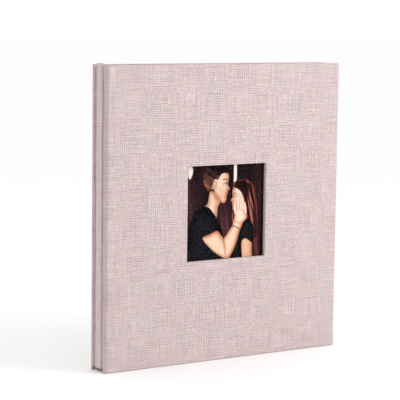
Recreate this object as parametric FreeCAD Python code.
import FreeCAD, Part
import os

# Linen scrapbook album, standing on its lower edges. Millimetres, +Z up, +X from spine to fore edge,
# front cover facing -Y. The origin is the centre of the footprint at floor level.

# Overall sizes.
ALBUM_W = 265.8
ALBUM_H = 280.0
ALBUM_T = 26.4

# Cover make-up, outside to inside: cloth, board, turned-in cloth, lining card.
CLOTH = 0.4
BOARD = 3.0
LINING = 0.8
COVER_T = 2 * CLOTH + BOARD + LINING
SPINE_EDGE_R = 3.3
RIM_R = 1.0
TURN_IN = 16.0
LINING_MARGIN = 4.0

# Window in the front cover, and what lies behind it. The window is centred on the flat of the face, so it
# stands a little towards the fore edge and the head.
WINDOW = 89.6
WINDOW_X = 1.3
WINDOW_UP = 0.5
WINDOW_CORNER_R = 0.6
WINDOW_FLAP = 10.0
FILM = 0.2
PICTURE = 0.25
FILM_SIDE = WINDOW + 10.0
PICTURE_SIDE = WINDOW + 8.0

# Spine panel between the covers, a little set back, with an open joint on each side of it.
SPINE_SETBACK = 0.6
SPINE_JOINT = 3.8
BLOCK_GAP = 1.8
SPINE_BOARD = 1.6
SPINE_BOTTOM = 2.5
SPINE_TOP = ALBUM_H + 1.4

# Bound block: strips, leaves and the guard strips between them.
LEAVES = 20
CARD = 0.4
COVER_GAP = 0.3
STRIP = 2.0
STRIP_W = 17.0
GUARD_W = 17.0
LEAF_BOTTOM = 5.0
LEAF_H = ALBUM_H - 2 * LEAF_BOTTOM
FORE_MARGIN = 5.0
CREASE_FROM_SPINE = 31.0
FLEX = 6.5

# Binding posts.
POSTS = 3
POST_SPACING = 100.0
POST_FROM_SPINE = 14.0
HEAD_R = 5.0
HEAD_T = 1.0
HEAD_SINK = 1.2
BARREL_R = 2.5
BORE_R = 1.75
SHANK_R = 1.65
POST_CLEARANCE = 0.15

X0 = -ALBUM_W / 2
X1 = ALBUM_W / 2
Y0 = -ALBUM_T / 2
MID_Z = ALBUM_H / 2
SPINE_X = X0 + SPINE_SETBACK
SPINE_T = SPINE_BOARD + 2 * CLOTH
BLOCK_X = SPINE_X + SPINE_T + BLOCK_GAP
STRIP_Y = Y0 + COVER_T + COVER_GAP
STACK_Y = STRIP_Y + STRIP
STACK_T = -2 * STACK_Y
GUARD = (STACK_T - LEAVES * CARD) / (LEAVES - 1)
PITCH = CARD + GUARD
CREASE_X = X0 + CREASE_FROM_SPINE
POST_X = X0 + POST_FROM_SPINE
EPS = 1.0
EDGE_R = min(SPINE_EDGE_R, CLOTH + 0.98 * BOARD)

os.makedirs("parts", exist_ok=True)


def box(x0, x1, y0, y1, z0, z1):
    return Part.makeBox(x1 - x0, y1 - y0, z1 - z0, FreeCAD.Vector(x0, y0, z0))


def rod(radius, x, y0, y1, z):
    """Cylinder along +Y."""
    return Part.makeCylinder(radius, y1 - y0, FreeCAD.Vector(x, y0, z), FreeCAD.Vector(0, 1, 0))


def square(side, y0, y1):
    """Square slab centred on the window."""
    z = MID_Z + WINDOW_UP
    return box(WINDOW_X - side / 2, WINDOW_X + side / 2, y0, y1, z - side / 2, z + side / 2)


def edges_where(shape, test):
    return [e for e in shape.Edges if test(e.BoundBox)]


def near(a, b):
    return abs(a - b) < 1e-4


def slab(inset, y0, y1):
    """Cover-sized slab whose outer face is at y0: the spine edge well rounded, the other three lightly."""
    x0 = X0 + inset
    x1 = X1 - inset
    z0 = inset
    z1 = ALBUM_H - inset
    solid = box(x0, x1, y0, y1, z0, z1)
    spine = edges_where(solid, lambda b: near(b.YMin, y0) and near(b.YMax, y0) and near(b.XMax, x0))
    solid = solid.makeFillet(EDGE_R - inset, spine)
    rim = edges_where(solid, lambda b: near(b.YMin, y0) and near(b.YMax, y0) and b.XMax > x0 + EDGE_R + 1)
    return solid.makeFillet(RIM_R - inset, rim)


def rounded_square(side, radius, y0, y1):
    solid = square(side, y0, y1)
    corners = edges_where(solid, lambda b: b.YLength > 0.5 * (y1 - y0))
    return solid.makeFillet(radius, corners)


def to_back(shape):
    """The same piece on the back cover."""
    return shape.mirror(FreeCAD.Vector(0, 0, 0), FreeCAD.Vector(0, 1, 0))


def save(name, shapes):
    shape = shapes[0] if len(shapes) == 1 else Part.makeCompound(shapes)
    shape.exportStep("parts/" + name + ".step")


# Depths of the layers in the front cover.
BOARD_Y = Y0 + CLOTH
TURN_Y = BOARD_Y + BOARD
LINING_Y = TURN_Y + CLOTH
INNER_Y = LINING_Y + LINING


def cover_board():
    return slab(CLOTH, BOARD_Y, TURN_Y)


def infill_area(y0, y1, gap):
    """Between the turned-in edges of the cloth."""
    edge = TURN_IN + gap
    return box(X0 + edge, X1 - edge, y0, y1, edge, ALBUM_H - edge)


def cover_cloth(board):
    """Cloth round the board: outer face, rim and the turned-in border."""
    return slab(0.0, Y0, LINING_Y).cut(board)


def lining():
    m = LINING_MARGIN
    return box(X0 + m, X1 - m, LINING_Y, INNER_Y, m, ALBUM_H - m)


# Front cover.
board_hole = rounded_square(WINDOW + 2 * CLOTH, WINDOW_CORNER_R + CLOTH, BOARD_Y - EPS, TURN_Y + EPS)
window_hole = rounded_square(WINDOW, WINDOW_CORNER_R, Y0 - EPS, LINING_Y + EPS)
flap = square(WINDOW + 2 * CLOTH + 2 * WINDOW_FLAP, TURN_Y - EPS, LINING_Y + EPS)
front_board = cover_board().cut(board_hole)
front_recess = infill_area(TURN_Y, LINING_Y + EPS, 0.0).cut(flap)
front_cloth = cover_cloth(front_board).cut(window_hole).cut(front_recess)
wide_flap = square(WINDOW + 2 * CLOTH + 2 * WINDOW_FLAP + 1.0, TURN_Y - EPS, LINING_Y + EPS)
front_infill = infill_area(TURN_Y, LINING_Y, 0.5).cut(wide_flap)
pocket = square(FILM_SIDE + 0.4, LINING_Y - EPS, LINING_Y + FILM + PICTURE)
front_lining = lining().cut(pocket)
window_film = square(FILM_SIDE, LINING_Y, LINING_Y + FILM)
cover_picture = square(PICTURE_SIDE, LINING_Y + FILM, LINING_Y + FILM + PICTURE)

save("front_board", [front_board])
save("front_cloth", [front_cloth])
save("front_infill", [front_infill])
save("front_lining", [front_lining])
save("window_film", [window_film])
save("cover_picture", [cover_picture])

# Back cover: the same make-up without the window.
back_board = cover_board()
back_cloth = cover_cloth(back_board).cut(infill_area(TURN_Y, LINING_Y + EPS, 0.0))
save("back_board", [to_back(back_board)])
save("back_cloth", [to_back(back_cloth)])
save("back_infill", [to_back(infill_area(TURN_Y, LINING_Y, 0.5))])
save("back_lining", [to_back(lining())])

# Spine panel.
panel_y = INNER_Y + SPINE_JOINT
panel = box(SPINE_X, SPINE_X + SPINE_T - CLOTH, panel_y, -panel_y, SPINE_BOTTOM, SPINE_TOP)
panel = panel.makeFillet(RIM_R, edges_where(panel, lambda b: near(b.XMax, SPINE_X)))
stiffener = box(
    SPINE_X + CLOTH,
    SPINE_X + CLOTH + SPINE_BOARD,
    panel_y + CLOTH,
    -panel_y - CLOTH,
    SPINE_BOTTOM + CLOTH,
    SPINE_TOP - CLOTH,
)
stiffener = stiffener.makeFillet(RIM_R - CLOTH, edges_where(stiffener, lambda b: near(b.XMax, SPINE_X + CLOTH)))
spine_lining = box(
    SPINE_X + CLOTH + SPINE_BOARD,
    SPINE_X + SPINE_T,
    panel_y + CLOTH,
    -panel_y - CLOTH,
    SPINE_BOTTOM + CLOTH,
    SPINE_TOP - CLOTH,
)
save("spine_board", [stiffener])
save("spine_cloth", [panel.cut(stiffener)])
save("spine_lining", [spine_lining])

# Binding posts: a flanged barrel from the front, a flanged screw from the back.
post_z = [MID_Z + (i - (POSTS - 1) / 2) * POST_SPACING for i in range(POSTS)]
head_y = STRIP_Y + HEAD_SINK
barrels = []
screws = []
for z in post_z:
    head = rod(HEAD_R, POST_X, head_y - HEAD_T, head_y, z)
    slot = box(POST_X - HEAD_R, POST_X + HEAD_R, head_y - HEAD_T, head_y - 0.6 * HEAD_T, z - 0.6, z + 0.6)
    tube = rod(BARREL_R, POST_X, head_y, -head_y - 0.2, z)
    bore = rod(BORE_R, POST_X, head_y + 1.0, -head_y, z)
    barrels.append(head.cut(slot).fuse(tube).cut(bore))
    shank = rod(SHANK_R, POST_X, head_y + 3.0, -head_y, z)
    screws.append(shank.fuse(to_back(head.cut(slot))))
save("post_barrels", barrels)
save("post_screws", screws)


def punched(shape, radius):
    for z in post_z:
        shape = shape.cut(rod(radius, POST_X, Y0, -Y0, z))
    return shape


# Post strips, counterbored for the flanges.
strip = box(BLOCK_X, BLOCK_X + STRIP_W, STRIP_Y, STACK_Y, LEAF_BOTTOM, LEAF_BOTTOM + LEAF_H)
strip = punched(strip, BARREL_R + POST_CLEARANCE)
for z in post_z:
    strip = strip.cut(rod(HEAD_R + 2 * POST_CLEARANCE, POST_X, STRIP_Y - EPS, head_y, z))
save("front_post_strip", [strip])
save("back_post_strip", [to_back(strip)])

# Leaves. Each is bound by its inner edge, is free to bend over FLEX beside the crease and is flat beyond.
stubs = []
guards = []
for i in range(LEAVES):
    y = STACK_Y + i * PITCH
    stub = box(BLOCK_X, CREASE_X, y, y + CARD, LEAF_BOTTOM, LEAF_BOTTOM + LEAF_H)
    stubs.append(punched(stub, BARREL_R + POST_CLEARANCE))
    leaf = box(CREASE_X + FLEX, X1 - FORE_MARGIN, y, y + CARD, LEAF_BOTTOM, LEAF_BOTTOM + LEAF_H)
    save("leaf_%02d" % (i + 1), [leaf])
for i in range(LEAVES - 1):
    y = STACK_Y + i * PITCH + CARD
    guard = box(BLOCK_X, BLOCK_X + GUARD_W, y, y + GUARD, LEAF_BOTTOM, LEAF_BOTTOM + LEAF_H)
    guards.append(punched(guard, BARREL_R + POST_CLEARANCE))
save("leaf_stubs", stubs)
save("leaf_guards", guards)
